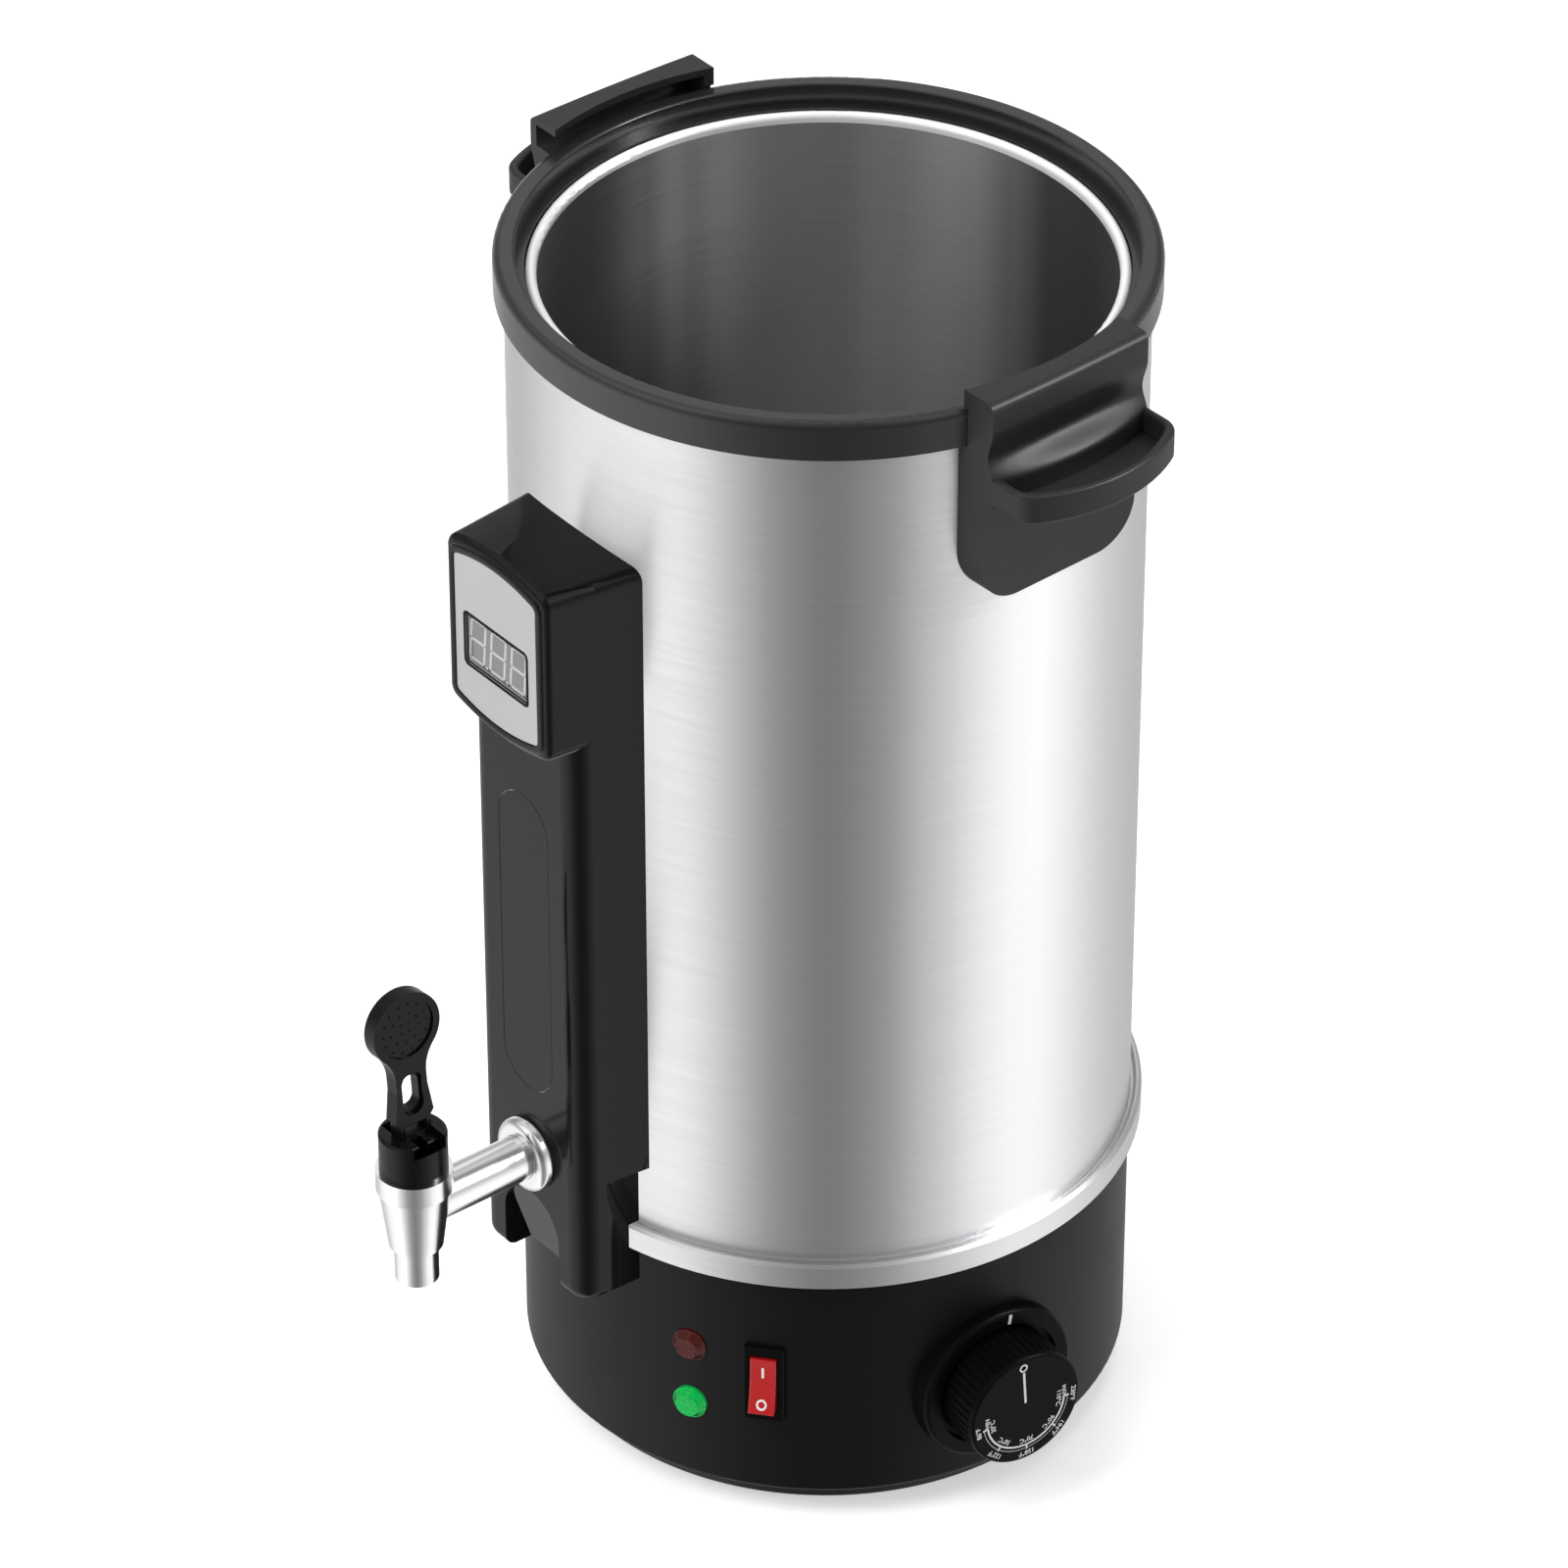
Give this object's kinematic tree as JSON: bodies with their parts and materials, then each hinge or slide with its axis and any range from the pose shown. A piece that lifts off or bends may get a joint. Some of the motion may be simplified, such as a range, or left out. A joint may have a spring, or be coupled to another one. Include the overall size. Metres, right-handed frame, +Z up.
{
  "type": "candle wax melter",
  "caption": "Tall electric wax melting tank with a lever tap, a front display column, hooked side handles, and a round base with a dial, a rocker switch and lamps.",
  "frame": {"origin": "centre of the bounding box's footprint, on the surface that the feet stand on", "axes": "+Z up along the tank's axis; the tap and the display column face -Y; +X is the side with the dial"},
  "size_m": [0.2799, 0.2981, 0.4539],
  "materials": {
    "pot_steel": "brushed, dull",
    "shell_steel": "brushed, satin",
    "screw_steel": "turned",
    "black_satin": "satin black",
    "black_gloss": "gloss black",
    "chrome_trim": "bright chrome",
    "felt_wrap": "pressed felt",
    "foot_rubber": "matt black",
    "heater_aluminium": "cast",
    "sheath_steel": "oxidised sheath",
    "copper_tube": "drawn",
    "contact_brass": "bright",
    "ceramic_white": "glazed",
    "rocker_red": "gloss red",
    "lens_red": "translucent red, faceted",
    "lens_green": "translucent green, lit",
    "plate_silver": "printed silver",
    "window_smoke": "smoked window",
    "module_white": "moulded",
    "board_green": "circuit board",
    "silicone": "translucent silicone"
  },
  "bodies": {
    "melter": {"inner_pot": "pot_steel", "rim_ring": "black_satin", "outer_shell": "shell_steel", "insulation_sleeve": "felt_wrap", "trim_band": "chrome_trim", "base_shell": "black_gloss", "base_plate": "black_satin", "rubber_feet": "foot_rubber", "foot_screws": "screw_steel", "base_screws": "screw_steel", "heater_plate": "heater_aluminium", "heating_element": "sheath_steel", "heater_clamp": "screw_steel", "thermal_cutout": "ceramic_white", "thermostat_body": "ceramic_white", "thermostat_bulb": "copper_tube", "dial_bezel": "black_satin", "dial_screws": "screw_steel", "switch_frame": "black_satin", "switch_terminals": "contact_brass", "lamp_holders": "black_satin", "lamp_red_lens": "lens_red", "lamp_green_lens": "lens_green", "inlet_body": "black_satin", "inlet_pins": "contact_brass", "inlet_screws": "screw_steel", "terminal_block": "ceramic_white", "column_cover": "black_gloss", "column_grip_panel": "black_gloss", "column_screws": "screw_steel", "display_plate": "plate_silver", "display_window": "window_smoke", "display_module": "module_white", "display_board": "board_green", "temperature_probe": "contact_brass", "tap_body": "chrome_trim", "tap_flange": "chrome_trim", "tap_seals": "silicone", "tap_lock_nut": "screw_steel", "tap_bonnet": "black_satin", "lever_pin": "screw_steel", "tap_spring": "screw_steel", "handle_left": "black_satin", "handle_right": "black_satin", "handle_brackets": "screw_steel", "handle_screws": "screw_steel"},
    "dial": {"dial_knob": "black_satin", "thermostat_shaft": "contact_brass"},
    "rocker": {"switch_rocker": "rocker_red"},
    "lever": {"tap_lever": "black_satin"},
    "plunger": {"tap_plunger": "screw_steel", "tap_valve_seal": "silicone"}
  },
  "joints": [
    {"name": "dial_turn", "type": "hinge", "parent": "melter", "child": "dial", "pos_m": [0.11437, 0.02703, 0.05], "axis": [0.9945, -0.1045, 0], "range_deg": [-265, 0]},
    {"name": "rocker_tip", "type": "hinge", "parent": "melter", "child": "rocker", "pos_m": [0.06653, -0.04024, 0.059], "axis": [0.766, 0.6428, 0], "range_deg": [0, 20]},
    {"name": "lever_pull", "type": "hinge", "parent": "melter", "child": "lever", "pos_m": [0, -0.13595, 0.164], "axis": [0, 1, 0], "range_deg": [0, 48], "stiffness_Nm_per_rad": 0.06, "springref_deg": -17.19},
    {"name": "plunger_lift", "type": "slide", "parent": "melter", "child": "plunger", "axis": [0, 0, 1], "range_m": [0, 0.00335], "deforming": ["tap_spring"]}
  ],
  "couplings": [
    {"joint": "lever_pull", "follows": "plunger_lift", "rad_per_m": 250}
  ]
}
